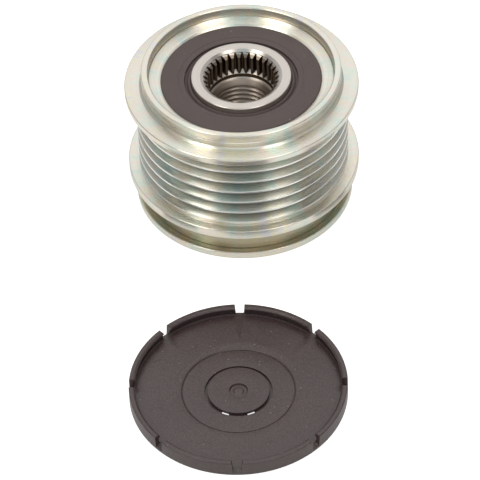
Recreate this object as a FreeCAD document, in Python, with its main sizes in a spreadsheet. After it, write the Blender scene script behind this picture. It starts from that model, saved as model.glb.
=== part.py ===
# Overrunning alternator pulley for a six-rib belt, standing front face up, with its protective
# cap taken off and lying inside up in front of it.
# Millimetres. The origin is on the pulley's axis, at the rear face of the hub. +Z is the front.
import FreeCAD
import Part
import math
import os
import Sketcher

doc = FreeCAD.newDocument("alternator_pulley")
sheet = doc.addObject("Spreadsheet::Sheet", "Sizes")


class Size:
    """A length or angle that carries its value and the sheet formula that gives it."""

    def __init__(self, value, formula):
        self.value = value
        self.formula = formula

    def __add__(self, other):
        other = fixed(other)
        return Size(self.value + other.value, f"({self.formula} + {other.formula})")

    def __sub__(self, other):
        other = fixed(other)
        return Size(self.value - other.value, f"({self.formula} - {other.formula})")

    def __mul__(self, other):
        other = fixed(other)
        return Size(self.value * other.value, f"({self.formula} * {other.formula})")

    def __truediv__(self, other):
        other = fixed(other)
        return Size(self.value / other.value, f"({self.formula} / {other.formula})")

    def __neg__(self):
        return self * -1


def fixed(number):
    """A plain number as a Size. A Size stays as it is."""
    if isinstance(number, Size):
        return number
    return Size(float(number), repr(float(number)))


def tangent(angle):
    return Size(math.tan(math.radians(angle.value)), f"tan({angle.formula})")


sheet_row = 0


def size(name, value):
    """Put a driving dimension on the sheet under its own name and return it."""
    global sheet_row
    sheet_row += 1
    sheet.set(f"A{sheet_row}", name)
    sheet.set(f"B{sheet_row}", repr(float(value)))
    sheet.setAlias(f"B{sheet_row}", name)
    return Size(float(value), f"Sizes.{name}")


# Hub: pilot bore, thread core and serrated tool socket. Radii grow outward from the shaft's
# thread to the flanges, each from the one inside it and the wall, step or gap between them.
thread_core_radius = size("thread_core_radius", 7.19)
pilot_step = size("pilot_step", 1.31)
pilot_radius = thread_core_radius + pilot_step
pilot_depth = size("pilot_depth", 10.0)
pilot_edge = size("pilot_edge", 0.4)
thread_entry_chamfer = size("thread_entry_chamfer", 0.86)
thread_entry_radius = thread_core_radius + thread_entry_chamfer
thread_entry_depth = size("thread_entry_depth", 1.3)
socket_ledge = size("socket_ledge", 0.7)
socket_land_radius = thread_entry_radius + socket_ledge
crest_setback = size("crest_setback", 0.05)
socket_crest_radius = socket_land_radius + crest_setback
tooth_height = size("tooth_height", 1.09)
socket_root_radius = socket_crest_radius + tooth_height
mouth_width = size("mouth_width", 0.81)
socket_mouth_radius = socket_root_radius + mouth_width
socket_wall = size("socket_wall", 3.14)
hub_radius = socket_root_radius + socket_wall
hub_front_drop = size("hub_front_drop", 2.33)
hub_edge = size("hub_edge", 0.15)
socket_floor_depth = size("socket_floor_depth", 6.92)
socket_land = size("socket_land", 1.2)
socket_ledge_drop = size("socket_ledge_drop", 0.2)
socket_cone_angle = size("socket_cone_angle", 30.0)
tooth_count = 33
tooth_crest_share = 0.37
tooth_root_share = 0.84
tooth_sink = size("tooth_sink", 0.15)
tooth_embedding = size("tooth_embedding", 0.3)

# Inner race and support rings pressed on the hub
race_wall = size("race_wall", 1.77)
inner_race_radius = hub_radius + race_wall
race_edge = size("race_edge", 0.3)
support_ring_height = size("support_ring_height", 1.8)
support_ring_radius = inner_race_radius + support_ring_height
support_ring_width = size("support_ring_width", 1.0)

# Needle bearings and one-way clutch between the two raceways
needle_diameter = size("needle_diameter", 2.4)
running_gap = size("running_gap", 0.05)
raceway_radius = inner_race_radius + needle_diameter + running_gap * 2
end_gap = size("end_gap", 0.3)
seat_gap = size("seat_gap", 0.05)
bearing_cage_length = size("bearing_cage_length", 7.5)
cage_end_ring = size("cage_end_ring", 0.6)
cage_wall = size("cage_wall", 1.7)
needle_count = 14
roller_count = 10
pocket_gap = size("pocket_gap", 0.06)
ramp_angle = size("ramp_angle", 7.0)
ramp_rise_side = size("ramp_rise_side", 2.6)
ramp_lock_side = size("ramp_lock_side", 2.9)
roller_travel = size("roller_travel", 0.45)
spring_leaf = size("spring_leaf", 0.2)
spring_side_gap = size("spring_side_gap", 0.15)
spring_end_gap = size("spring_end_gap", 1.0)

# Clutch sleeve and the washers seated in its ends
clutch_land = size("clutch_land", 0.3)
clutch_bore_radius = raceway_radius - clutch_land
washer_step = size("washer_step", 0.6)
washer_seat_radius = raceway_radius + washer_step
washer_recess = size("washer_recess", 0.2)
washer_thickness = size("washer_thickness", 1.2)
sleeve_wall = size("sleeve_wall", 1.5)
sleeve_seat_radius = raceway_radius + sleeve_wall

# Seals, the same section at both ends
seal_shoulder = size("seal_shoulder", 2.15)
seal_seat_radius = sleeve_seat_radius + seal_shoulder
seal_seat_depth = size("seal_seat_depth", 3.5)
rear_seal_recess = size("rear_seal_recess", 0.3)
seal_case_wall = size("seal_case_wall", 0.9)
seal_web_width = size("seal_web_width", 1.0)
seal_face_width = size("seal_face_width", 0.9)
seal_bore_gap = size("seal_bore_gap", 1.77)
seal_bore_radius = hub_radius + seal_bore_gap
seal_bore_rubber = size("seal_bore_rubber", 1.2)
seal_web_radius = seal_bore_radius + seal_bore_rubber
seal_ledge = size("seal_ledge", 1.5)
seal_step_radius = seal_bore_radius + seal_ledge
seal_step = size("seal_step", 0.14)
lip_gap = size("lip_gap", 0.08)
lip_radius = hub_radius + lip_gap
lip_drop = size("lip_drop", 2.05)
lip_land = size("lip_land", 0.25)
lip_valley = size("lip_valley", 0.5)
dust_lip_drop = size("dust_lip_drop", 0.5)
dust_lip_width = size("dust_lip_width", 0.74)
dust_lip_edge = size("dust_lip_edge", 0.24)
dust_lip_land = size("dust_lip_land", 0.2)
dust_groove_depth = size("dust_groove_depth", 1.1)

# Pulley ring: front collar that the cap clips over, and the mouths of the seal seats
floor_width = size("floor_width", 3.65)
collar_inner_radius = seal_seat_radius + floor_width
collar_wall = size("collar_wall", 1.4)
collar_radius = collar_inner_radius + collar_wall
collar_foot_step = size("collar_foot_step", 0.6)
collar_foot_radius = collar_radius + collar_foot_step
collar_height = size("collar_height", 4.24)
collar_depth = size("collar_depth", 3.2)
collar_edge = size("collar_edge", 0.3)
collar_foot_rise = size("collar_foot_rise", 0.45)
clip_groove_depth = size("clip_groove_depth", 0.2)
clip_groove_rise = size("clip_groove_rise", 1.75)
clip_groove_width = size("clip_groove_width", 0.6)
mouth_chamfer_width = size("mouth_chamfer_width", 0.7)
mouth_chamfer_depth = size("mouth_chamfer_depth", 0.25)

# Pulley ring: belt track, flanges, neck and rear rim
front_face_width = size("front_face_width", 3.9)
flange_radius = collar_foot_radius + front_face_width
flange_edge = size("flange_edge", 0.3)
flange_height = size("flange_height", 2.8)
rib_tip_radius = flange_radius - flange_height
rear_rim_setback = size("rear_rim_setback", 1.75)
rear_rim_radius = flange_radius - rear_rim_setback
neck_setback = size("neck_setback", 4.2)
neck_radius = flange_radius - neck_setback
rear_rim_height = size("rear_rim_height", 2.05)
neck_length = size("neck_length", 6.6)
rear_flange_width = size("rear_flange_width", 2.8)
front_flange_width = size("front_flange_width", 1.8)
rib_tip_width = size("rib_tip_width", 0.5)
rib_pitch = size("rib_pitch", 3.56)
groove_angle = size("groove_angle", 40.0)
groove_depth = size("groove_depth", 3.1)
groove_count = 6
rear_land = size("rear_land", 0.33)
front_land = size("front_land", 1.02)
land_relief = size("land_relief", 0.4)

# Protective cap, made to the collar, and its place in front of the pulley
cap_slack = size("cap_slack", 0.3)
cap_inner_radius = collar_radius + cap_slack
cap_wall = size("cap_wall", 1.1)
cap_radius = cap_inner_radius + cap_wall
cap_height = size("cap_height", 4.2)
cap_edge = size("cap_edge", 0.5)
cap_floor = size("cap_floor", 1.45)
cap_centre_floor = size("cap_centre_floor", 1.0)
cap_step_radius = size("cap_step_radius", 14.1)
cap_step_width = size("cap_step_width", 2.2)
clip_overlap = size("clip_overlap", 0.2)
bead_width = size("bead_width", 0.3)
bead_slope = size("bead_slope", 0.45)
button_radius = size("button_radius", 7.8)
button_rise = size("button_rise", 0.32)
button_slot_width = size("button_slot_width", 0.6)
button_web = size("button_web", 0.35)
gate_radius = size("gate_radius", 1.75)
gate_depth = size("gate_depth", 0.45)
notch_count = 8
notch_top_width = size("notch_top_width", 2.5)
notch_floor_width = size("notch_floor_width", 2.05)
notch_depth = size("notch_depth", 3.2)
window_angle = size("window_angle", 24.6)
window_length = size("window_length", 2.0)
window_reach = size("window_reach", 0.5)
window_height = size("window_height", 0.55)
cap_x = size("cap_x", -3.4)
cap_distance = size("cap_distance", 18.73)
cap_y = -(flange_radius + cap_distance + cap_radius)
cap_turn = size("cap_turn", -2.0)

# How far a cutting sketch reaches past the surface that it cuts, and the least that it may remove
cut_margin = size("cut_margin", 0.5)
least_cut = 1e-6

# Heights along the axis, from the rear face
rear_flange_rear = rear_rim_height + neck_length
rear_flange_front = rear_flange_rear + rear_flange_width
first_rib_edge = rear_flange_front + rear_land
last_rib_edge = first_rib_edge + rib_tip_width + rib_pitch * groove_count
front_flange_rear = last_rib_edge + front_land
front_flange_front = front_flange_rear + front_flange_width
collar_top = front_flange_front + collar_height
front_floor = collar_top - collar_depth
sleeve_rear = seal_seat_depth + rear_seal_recess
sleeve_front = front_floor - seal_seat_depth
hub_front = collar_top - hub_front_drop

# Heights of the stack inside the sleeve
rear_washer_rear = sleeve_rear + washer_recess
rear_washer_front = rear_washer_rear + washer_thickness
front_washer_front = sleeve_front - washer_recess
front_washer_rear = front_washer_front - washer_thickness
rear_cage_rear = rear_washer_front + end_gap
rear_cage_front = rear_cage_rear + bearing_cage_length
front_cage_front = front_washer_rear - end_gap
front_cage_rear = front_cage_front - bearing_cage_length
clutch_rear = rear_cage_front + end_gap
clutch_front = front_cage_rear - end_gap
race_rear = sleeve_rear - seat_gap
race_front = sleeve_front + seat_gap

# Needles and clutch rollers have the same diameter, with a running gap on each side
roller_radius = needle_diameter / 2
roller_orbit = inner_race_radius + running_gap + roller_radius
cage_inner_radius = roller_orbit - cage_wall / 2
cage_outer_radius = roller_orbit + cage_wall / 2


def new_body(name):
    body = doc.addObject("PartDesign::Body", name)
    body.Label = name
    return body


def sketch_on(body, role, name, offset=None, turn=None):
    """A sketch on one of the body's own planes, moved along its normal and turned about it."""
    sketch = body.newObject("Sketcher::SketchObject", name)
    plane = [item for item in body.Origin.OriginFeatures if item.Role == role][0]
    sketch.AttachmentSupport = [(plane, "")]
    sketch.MapMode = "FlatFace"
    if turn is not None:
        sketch.AttachmentOffset = FreeCAD.Placement(
            FreeCAD.Vector(0, 0, 0), FreeCAD.Rotation(FreeCAD.Vector(0, 0, 1), turn.value)
        )
        sketch.setExpression(".AttachmentOffset.Rotation.Angle", turn.formula)
    if offset is not None:
        sketch.setExpression(".AttachmentOffset.Base.z", offset.formula)
    return sketch


def draw_outline(sketch, corners):
    """A closed outline of straight lines. Every corner is tied to the sheet in both directions."""
    corners = [(fixed(across), fixed(along)) for across, along in corners]
    points = [FreeCAD.Vector(across.value, along.value, 0) for across, along in corners]
    for index, point in enumerate(points):
        sketch.addGeometry(Part.LineSegment(point, points[(index + 1) % len(points)]))
    for index in range(len(points)):
        following = (index + 1) % len(points)
        sketch.addConstraint(Sketcher.Constraint("Coincident", index, 2, following, 1))
    for index, corner in enumerate(corners):
        for kind, coordinate in zip(("DistanceX", "DistanceY"), corner):
            tie = Sketcher.Constraint(kind, -1, 1, index, 1, coordinate.value)
            number = sketch.addConstraint(tie)
            sketch.setExpression(f"Constraints[{number}]", coordinate.formula)
    return sketch


def draw_circle(sketch, across, radius):
    """A circle centred on the sketch's own horizontal axis."""
    centre = FreeCAD.Vector(across.value, 0, 0)
    sketch.addGeometry(Part.Circle(centre, FreeCAD.Vector(0, 0, 1), radius.value))
    sketch.addConstraint(Sketcher.Constraint("PointOnObject", 0, 3, -1))
    place = sketch.addConstraint(Sketcher.Constraint("DistanceX", -1, 1, 0, 3, across.value))
    sketch.setExpression(f"Constraints[{place}]", across.formula)
    round_size = sketch.addConstraint(Sketcher.Constraint("Radius", 0, radius.value))
    sketch.setExpression(f"Constraints[{round_size}]", radius.formula)
    return sketch


def turned(body, name, corners):
    """Turn a half section, given as radius and height, about the axis."""
    sketch = draw_outline(sketch_on(body, "XZ_Plane", f"{name}_section"), corners)
    feature = body.newObject("PartDesign::Revolution", name)
    feature.Profile = sketch
    feature.ReferenceAxis = (sketch, ["V_Axis"])
    feature.Angle = 360
    doc.recompute()
    return feature


def turned_cut(body, name, corners):
    before = body.Shape.Volume
    sketch = draw_outline(sketch_on(body, "XZ_Plane", f"{name}_section"), corners)
    feature = body.newObject("PartDesign::Groove", name)
    feature.Profile = sketch
    feature.ReferenceAxis = (sketch, ["V_Axis"])
    feature.Angle = 360
    doc.recompute()
    require_less(body, before, name)
    return feature


def padded(body, name, sketch, length):
    feature = body.newObject("PartDesign::Pad", name)
    feature.Profile = sketch
    feature.setExpression("Length", length.formula)
    doc.recompute()
    return feature


def pocketed(body, name, sketch, depth):
    """Cut a sketch into the body, along the sketch's normal."""
    before = body.Shape.Volume
    feature = body.newObject("PartDesign::Pocket", name)
    feature.Profile = sketch
    feature.setExpression("Length", depth.formula)
    feature.Reversed = True
    doc.recompute()
    require_less(body, before, name)
    return feature


def around_axis(body, name, original, count, span=None):
    """Repeat a feature about the upright axis, over a full turn or over a given angle."""
    pattern = body.newObject("PartDesign::PolarPattern", name)
    pattern.Originals = [original]
    upright = [item for item in body.Origin.OriginFeatures if item.Role == "Z_Axis"][0]
    pattern.Axis = (upright, [""])
    pattern.Occurrences = count
    pattern.Angle = 360
    if span is not None:
        pattern.setExpression("Angle", span.formula)
    body.Tip = pattern
    doc.recompute()
    return pattern


def along_axis(body, name, original, count, length):
    pattern = body.newObject("PartDesign::LinearPattern", name)
    pattern.Originals = [original]
    upright = [item for item in body.Origin.OriginFeatures if item.Role == "Z_Axis"][0]
    pattern.Direction = (upright, [""])
    pattern.Occurrences = count
    pattern.setExpression("Length", length.formula)
    body.Tip = pattern
    doc.recompute()
    return pattern


def require_less(body, before, name):
    if body.Shape.Volume >= before - least_cut:
        raise RuntimeError(f"{name} removed nothing from {body.Label}")


def ring_corners(inner, outer, rear, front, edge=None):
    """A plain ring's half section, with the outer edges chamfered if an edge is given."""
    if edge is None:
        return [(inner, rear), (outer, rear), (outer, front), (inner, front)]
    return [
        (inner, rear),
        (outer - edge, rear),
        (outer, rear + edge),
        (outer, front - edge),
        (outer - edge, front),
        (inner, front),
    ]


def make_pulley_ring():
    """One turned ring: rear rim, neck, rear flange, ribbed belt track, front flange and collar."""
    body = new_body("pulley_ring")
    relief_radius = rib_tip_radius - land_relief
    clip_floor_radius = collar_radius - clip_groove_depth
    clip_rear = front_flange_front + clip_groove_rise
    clip_front = clip_rear + clip_groove_width
    turned(body, "ring_blank", [
        (sleeve_seat_radius, sleeve_rear),
        (seal_seat_radius, sleeve_rear),
        (seal_seat_radius, mouth_chamfer_depth),
        (seal_seat_radius + mouth_chamfer_width, 0),
        (rear_rim_radius - flange_edge, 0),
        (rear_rim_radius, flange_edge),
        (rear_rim_radius, rear_rim_height - flange_edge),
        (rear_rim_radius - flange_edge, rear_rim_height),
        (neck_radius, rear_rim_height),
        (neck_radius, rear_flange_rear),
        (flange_radius - flange_edge, rear_flange_rear),
        (flange_radius, rear_flange_rear + flange_edge),
        (flange_radius, rear_flange_front - flange_edge),
        (flange_radius - flange_edge, rear_flange_front),
        (rib_tip_radius, rear_flange_front),
        (relief_radius, rear_flange_front + rear_land / 2),
        (rib_tip_radius, first_rib_edge),
        (rib_tip_radius, last_rib_edge),
        (relief_radius, last_rib_edge + land_relief),
        (relief_radius, front_flange_rear),
        (flange_radius - flange_edge, front_flange_rear),
        (flange_radius, front_flange_rear + flange_edge),
        (flange_radius, front_flange_front - flange_edge),
        (flange_radius - flange_edge, front_flange_front),
        (collar_foot_radius, front_flange_front),
        (collar_radius, front_flange_front + collar_foot_rise),
        (collar_radius, clip_rear),
        (clip_floor_radius, clip_rear + clip_groove_depth),
        (clip_floor_radius, clip_front - clip_groove_depth),
        (collar_radius, clip_front),
        (collar_radius, collar_top - collar_edge),
        (collar_radius - collar_edge, collar_top),
        (collar_inner_radius + collar_edge, collar_top),
        (collar_inner_radius, collar_top - collar_edge),
        (collar_inner_radius, front_floor + collar_edge),
        (collar_inner_radius - collar_edge, front_floor),
        (seal_seat_radius + mouth_chamfer_width, front_floor),
        (seal_seat_radius, front_floor - mouth_chamfer_depth),
        (seal_seat_radius, sleeve_front),
        (sleeve_seat_radius, sleeve_front),
    ])

    # The first belt groove, then five more up the track
    half_angle = tangent(groove_angle / 2)
    mouth_half = (rib_pitch - rib_tip_width) / 2
    root_half = mouth_half - groove_depth * half_angle
    open_half = mouth_half + cut_margin * half_angle
    open_radius = rib_tip_radius + cut_margin
    groove_middle = first_rib_edge + rib_tip_width + mouth_half
    root_radius = rib_tip_radius - groove_depth
    first_groove = turned_cut(body, "belt_groove", [
        (root_radius, groove_middle - root_half),
        (open_radius, groove_middle - open_half),
        (open_radius, groove_middle + open_half),
        (root_radius, groove_middle + root_half),
    ])
    along_axis(body, "belt_grooves", first_groove, groove_count, rib_pitch * (groove_count - 1))
    return body


def make_clutch_sleeve():
    """Hardened sleeve pressed into the ring: two raceways, with clamping ramps between them."""
    body = new_body("clutch_sleeve")
    turned(body, "sleeve_blank", [
        (washer_seat_radius, sleeve_rear),
        (sleeve_seat_radius, sleeve_rear),
        (sleeve_seat_radius, sleeve_front),
        (washer_seat_radius, sleeve_front),
        (washer_seat_radius, front_washer_rear),
        (raceway_radius, front_washer_rear),
        (raceway_radius, clutch_front),
        (clutch_bore_radius, clutch_front),
        (clutch_bore_radius, clutch_rear),
        (raceway_radius, clutch_rear),
        (raceway_radius, rear_washer_front),
        (washer_seat_radius, rear_washer_front),
    ])
    contact_radius = roller_orbit + roller_radius + running_gap
    slope = tangent(ramp_angle)
    inside = clutch_bore_radius - cut_margin
    sketch = draw_outline(sketch_on(body, "XY_Plane", "ramp_section", offset=clutch_rear), [
        (inside, -ramp_lock_side),
        (contact_radius - ramp_lock_side * slope, -ramp_lock_side),
        (contact_radius + ramp_rise_side * slope, ramp_rise_side),
        (inside, ramp_rise_side),
    ])
    ramp = pocketed(body, "ramp", sketch, clutch_front - clutch_rear)
    around_axis(body, "ramps", ramp, roller_count)
    return body


def make_cage(name, rear, front, low_side, high_side, count):
    """A plastic cage: a ring between the raceways with a window for each roller."""
    body = new_body(name)
    turned(body, f"{name}_ring", ring_corners(cage_inner_radius, cage_outer_radius, rear, front))
    before = body.Shape.Volume
    sketch = draw_outline(sketch_on(body, "YZ_Plane", f"{name}_window_section"), [
        (-low_side, rear + cage_end_ring),
        (high_side, rear + cage_end_ring),
        (high_side, front - cage_end_ring),
        (-low_side, front - cage_end_ring),
    ])
    window = body.newObject("PartDesign::Pocket", f"{name}_window")
    window.Profile = sketch
    window.setExpression("Length", (cage_outer_radius + cut_margin).formula)
    window.Reversed = True
    doc.recompute()
    require_less(body, before, f"{name}_window")
    around_axis(body, f"{name}_windows", window, count)
    return body


def make_rollers(name, rear, front, count):
    """A row of loose rollers, one solid each, standing in their cage's windows."""
    body = new_body(name)
    body.AllowCompound = True
    bottom = rear + cage_end_ring + pocket_gap
    top = front - cage_end_ring - pocket_gap
    sketch = draw_circle(sketch_on(body, "XY_Plane", f"{name}_section", offset=bottom), roller_orbit,
                         roller_radius)
    roller = padded(body, f"{name}_first", sketch, top - bottom)
    around_axis(body, f"{name}_row", roller, count)
    return body


def make_clutch_springs():
    """Bent leaf springs, each between the end of a cage window and its roller."""
    body = new_body("clutch_springs")
    body.AllowCompound = True
    tip = roller_radius + running_gap
    wall = ramp_rise_side - seat_gap
    leaf_half = cage_wall / 2 - spring_side_gap
    bottom = clutch_rear + cage_end_ring + spring_end_gap
    top = clutch_front - cage_end_ring - spring_end_gap
    sketch = draw_outline(sketch_on(body, "XY_Plane", "spring_section", offset=bottom), [
        (roller_orbit - leaf_half, wall - spring_leaf),
        (roller_orbit, tip),
        (roller_orbit + leaf_half, wall - spring_leaf),
        (roller_orbit + leaf_half, wall),
        (roller_orbit, tip + spring_leaf),
        (roller_orbit - leaf_half, wall),
    ])
    spring = padded(body, "spring_first", sketch, top - bottom)
    around_axis(body, "spring_row", spring, roller_count)
    return body


def make_ring(name, inner, outer, rear, front, edge=None):
    body = new_body(name)
    turned(body, f"{name}_turned", ring_corners(inner, outer, rear, front, edge))
    return body


def make_seal(name, face, inward, seat):
    """A steel case and the rubber moulded on it. Inward is 1 where the inside lies towards +Z."""
    def depth(distance):
        return face + fixed(distance) * inward

    case = new_body(f"{name}_seal_case")
    web_front = depth(seal_face_width)
    web_rear = depth(seal_face_width + seal_web_width)
    turned(case, f"{name}_case_turned", [
        (seal_web_radius, web_front),
        (seal_seat_radius, web_front),
        (seal_seat_radius, seat),
        (seal_seat_radius - seal_case_wall, seat),
        (seal_seat_radius - seal_case_wall, web_rear),
        (seal_web_radius, web_rear),
    ])

    rubber = new_body(f"{name}_seal_lip")
    turned(rubber, f"{name}_lip_turned", [
        (seal_seat_radius, web_front),
        (seal_seat_radius, depth(mouth_chamfer_depth)),
        (seal_seat_radius - mouth_chamfer_depth, face),
        (seal_step_radius, face),
        (seal_step_radius, depth(seal_step)),
        (seal_bore_radius, depth(seal_step)),
        (seal_bore_radius, depth(dust_groove_depth)),
        (lip_radius + dust_lip_width, depth(dust_groove_depth)),
        (lip_radius + dust_lip_width, depth(dust_lip_drop)),
        (lip_radius + dust_lip_edge, depth(dust_lip_drop)),
        (lip_radius, depth(dust_lip_drop + dust_lip_edge)),
        (lip_radius, depth(dust_lip_drop + dust_lip_edge + dust_lip_land)),
        (lip_radius + lip_valley, depth(lip_drop - lip_land - lip_valley)),
        (lip_radius, depth(lip_drop - lip_land)),
        (lip_radius, depth(lip_drop)),
        (seal_bore_radius, web_rear),
        (seal_web_radius, web_rear),
        (seal_web_radius, web_front),
    ])
    return case, rubber


def make_hub():
    """Steel hub: tool socket with serrations in front, thread in the middle, pilot bore behind."""
    body = new_body("hub")
    socket_floor = hub_front - socket_floor_depth
    cone = tangent(socket_cone_angle)
    socket_shoulder = socket_floor + (socket_root_radius - socket_land_radius) * cone
    land_rear = socket_floor - socket_land
    entry_front = land_rear - socket_ledge_drop
    thread_front = entry_front - thread_entry_depth
    thread_rear = pilot_depth + pilot_step
    turned(body, "hub_blank", [
        (pilot_radius + pilot_edge, 0),
        (hub_radius - hub_edge, 0),
        (hub_radius, hub_edge),
        (hub_radius, hub_front - hub_edge),
        (hub_radius - hub_edge, hub_front),
        (socket_root_radius, hub_front),
        (socket_root_radius, socket_shoulder),
        (socket_land_radius, socket_floor),
        (socket_land_radius, land_rear),
        (thread_entry_radius, entry_front),
        (thread_core_radius, thread_front),
        (thread_core_radius, thread_rear),
        (pilot_radius, pilot_depth),
        (pilot_radius, pilot_edge),
    ])

    # Serration teeth stand on the socket's conical floor
    tooth_rear = socket_floor - tooth_sink
    tooth_pitch_angle = 2 * math.pi / tooth_count
    crest_half = socket_crest_radius * (tooth_pitch_angle * tooth_crest_share / 2)
    root_half = socket_root_radius * (tooth_pitch_angle * tooth_root_share / 2)
    behind_root = socket_root_radius + tooth_embedding
    sketch = draw_outline(sketch_on(body, "XY_Plane", "tooth_section", offset=tooth_rear), [
        (socket_crest_radius, -crest_half),
        (socket_root_radius, -root_half),
        (behind_root, -root_half),
        (behind_root, root_half),
        (socket_root_radius, root_half),
        (socket_crest_radius, crest_half),
    ])
    tooth = padded(body, "tooth", sketch, hub_front - tooth_rear)
    around_axis(body, "teeth", tooth, tooth_count)

    # The socket's mouth cone trims the front of every tooth
    past_crest = socket_crest_radius - cut_margin
    above = hub_front + cut_margin
    turned_cut(body, "socket_mouth", [
        (socket_mouth_radius, hub_front),
        (socket_mouth_radius, above),
        (past_crest, above),
        (past_crest, hub_front - (socket_mouth_radius - past_crest) * cone),
    ])
    return body


def make_protective_cap():
    """Moulded plastic cap: stepped floor, pressed-out button and a rim cut into fingers."""
    body = new_body("protective_cap")
    bead_radius = collar_radius - clip_overlap
    bead_front = cap_height - bead_slope
    bead_rear = bead_front - bead_width
    slot_outer = button_radius + button_slot_width
    button_top = cap_centre_floor + button_rise
    turned(body, "cap_turned", [
        (0, 0),
        (cap_radius - cap_edge, 0),
        (cap_radius, cap_edge),
        (cap_radius, cap_height),
        (cap_inner_radius, cap_height),
        (bead_radius, bead_front),
        (bead_radius, bead_rear),
        (cap_inner_radius, bead_rear - bead_slope),
        (cap_inner_radius, cap_floor),
        (cap_step_radius + cap_step_width, cap_floor),
        (cap_step_radius, cap_centre_floor),
        (slot_outer, cap_centre_floor),
        (slot_outer, button_web),
        (button_radius, button_web),
        (button_radius, button_top),
        (gate_radius, button_top),
        (gate_radius - gate_depth, button_top - gate_depth),
        (0, button_top - gate_depth),
    ])

    # Notches that part the rim into fingers
    notch_inside = bead_radius - seat_gap
    notch_floor = cap_height - notch_depth
    flare = (notch_top_width - notch_floor_width) / notch_depth / 2
    top_half = notch_top_width / 2 + cut_margin * flare
    sketch = draw_outline(sketch_on(body, "XZ_Plane", "notch_section", offset=notch_inside), [
        (-notch_floor_width / 2, notch_floor),
        (notch_floor_width / 2, notch_floor),
        (top_half, cap_height + cut_margin),
        (-top_half, cap_height + cut_margin),
    ])
    notch_reach = cap_radius + cut_margin - notch_inside
    notch = pocketed(body, "notch", sketch, notch_reach)
    around_axis(body, "notches", notch, notch_count)

    # Two windows through the web below the button's slot, on the side away from the pulley
    first_turn = -window_angle - 90
    sketch = draw_outline(sketch_on(body, "XY_Plane", "window_section", turn=first_turn), [
        (button_radius - window_reach, -window_length / 2),
        (slot_outer, -window_length / 2),
        (slot_outer, window_length / 2),
        (button_radius - window_reach, window_length / 2),
    ])
    window = pocketed(body, "window", sketch, window_height)
    around_axis(body, "windows", window, 2, span=window_angle * 2)

    body.Placement = FreeCAD.Placement(
        FreeCAD.Vector(0, 0, 0), FreeCAD.Rotation(FreeCAD.Vector(0, 0, 1), cap_turn.value)
    )
    body.setExpression(".Placement.Base.x", cap_x.formula)
    body.setExpression(".Placement.Base.y", cap_y.formula)
    body.setExpression(".Placement.Rotation.Angle", cap_turn.formula)
    doc.recompute()
    return body


def make_pulley():
    doc.recompute()
    needle_side = roller_radius + pocket_gap
    lock_side = roller_radius + roller_travel
    parts = [
        make_pulley_ring(),
        make_clutch_sleeve(),
        make_cage("clutch_cage", clutch_rear, clutch_front, lock_side, ramp_rise_side, roller_count),
        make_rollers("clutch_rollers", clutch_rear, clutch_front, roller_count),
        make_clutch_springs(),
        make_ring("front_thrust_washer", inner_race_radius + end_gap, washer_seat_radius - seat_gap,
                  front_washer_rear, front_washer_front),
        make_ring("rear_thrust_washer", inner_race_radius + end_gap, washer_seat_radius - seat_gap,
                  rear_washer_rear, rear_washer_front),
        *make_seal("front", front_floor, -1, sleeve_front),
        *make_seal("rear", rear_seal_recess, 1, sleeve_rear),
        make_hub(),
        make_ring("inner_race", hub_radius, inner_race_radius, race_rear, race_front, race_edge),
        make_ring("front_support_ring", hub_radius, support_ring_radius,
                  race_front, race_front + support_ring_width),
        make_ring("rear_support_ring", hub_radius, support_ring_radius,
                  race_rear - support_ring_width, race_rear),
        make_protective_cap(),
    ]
    for end, rear, front in (("front", front_cage_rear, front_cage_front),
                             ("rear", rear_cage_rear, rear_cage_front)):
        parts.append(make_cage(f"{end}_needle_cage", rear, front, needle_side, needle_side,
                               needle_count))
        parts.append(make_rollers(f"{end}_needles", rear, front, needle_count))
    return parts


def check_document(parts):
    """Stop if any object failed or any piece is empty or broken."""
    for item in doc.Objects:
        for word in ("Invalid", "Error"):
            if word in item.State:
                raise RuntimeError(f"{item.Label} is {word}")
    for part in parts:
        if part.Shape.isNull() or not part.Shape.isValid() or not part.Shape.Solids:
            raise RuntimeError(f"{part.Label} has no sound solid")


all_parts = make_pulley()
doc.recompute()
check_document(all_parts)
os.makedirs("parts", exist_ok=True)
for part in all_parts:
    part.Shape.exportStep(f"parts/{part.Label}.step")
    box = part.Shape.BoundBox
    print(f"{part.Label}: {len(part.Shape.Solids)} solids, {part.Shape.Volume:.1f} mm3, "
          f"z {box.ZMin:.2f} to {box.ZMax:.2f}")
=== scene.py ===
import bmesh
import bpy
import math
from mathutils import Matrix, Vector


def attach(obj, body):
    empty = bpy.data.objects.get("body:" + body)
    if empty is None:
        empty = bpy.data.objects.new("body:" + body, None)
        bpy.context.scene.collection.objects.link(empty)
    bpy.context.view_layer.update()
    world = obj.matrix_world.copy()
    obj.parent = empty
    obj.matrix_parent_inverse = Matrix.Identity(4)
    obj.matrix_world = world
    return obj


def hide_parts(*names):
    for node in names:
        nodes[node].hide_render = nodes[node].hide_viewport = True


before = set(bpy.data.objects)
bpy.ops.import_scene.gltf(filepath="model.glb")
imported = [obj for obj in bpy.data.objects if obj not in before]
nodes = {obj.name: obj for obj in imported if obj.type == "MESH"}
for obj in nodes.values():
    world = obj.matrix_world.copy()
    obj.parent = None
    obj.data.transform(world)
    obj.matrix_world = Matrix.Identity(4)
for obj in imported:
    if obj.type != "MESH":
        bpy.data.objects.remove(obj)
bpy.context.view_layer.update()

mm = 0.001   # metres in a millimetre
weldDistance = 0.002 * mm
sharpAbove = 28   # degrees between two faces


# Outlines: half sections in millimetres, each corner as radius, height and rounding

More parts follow.
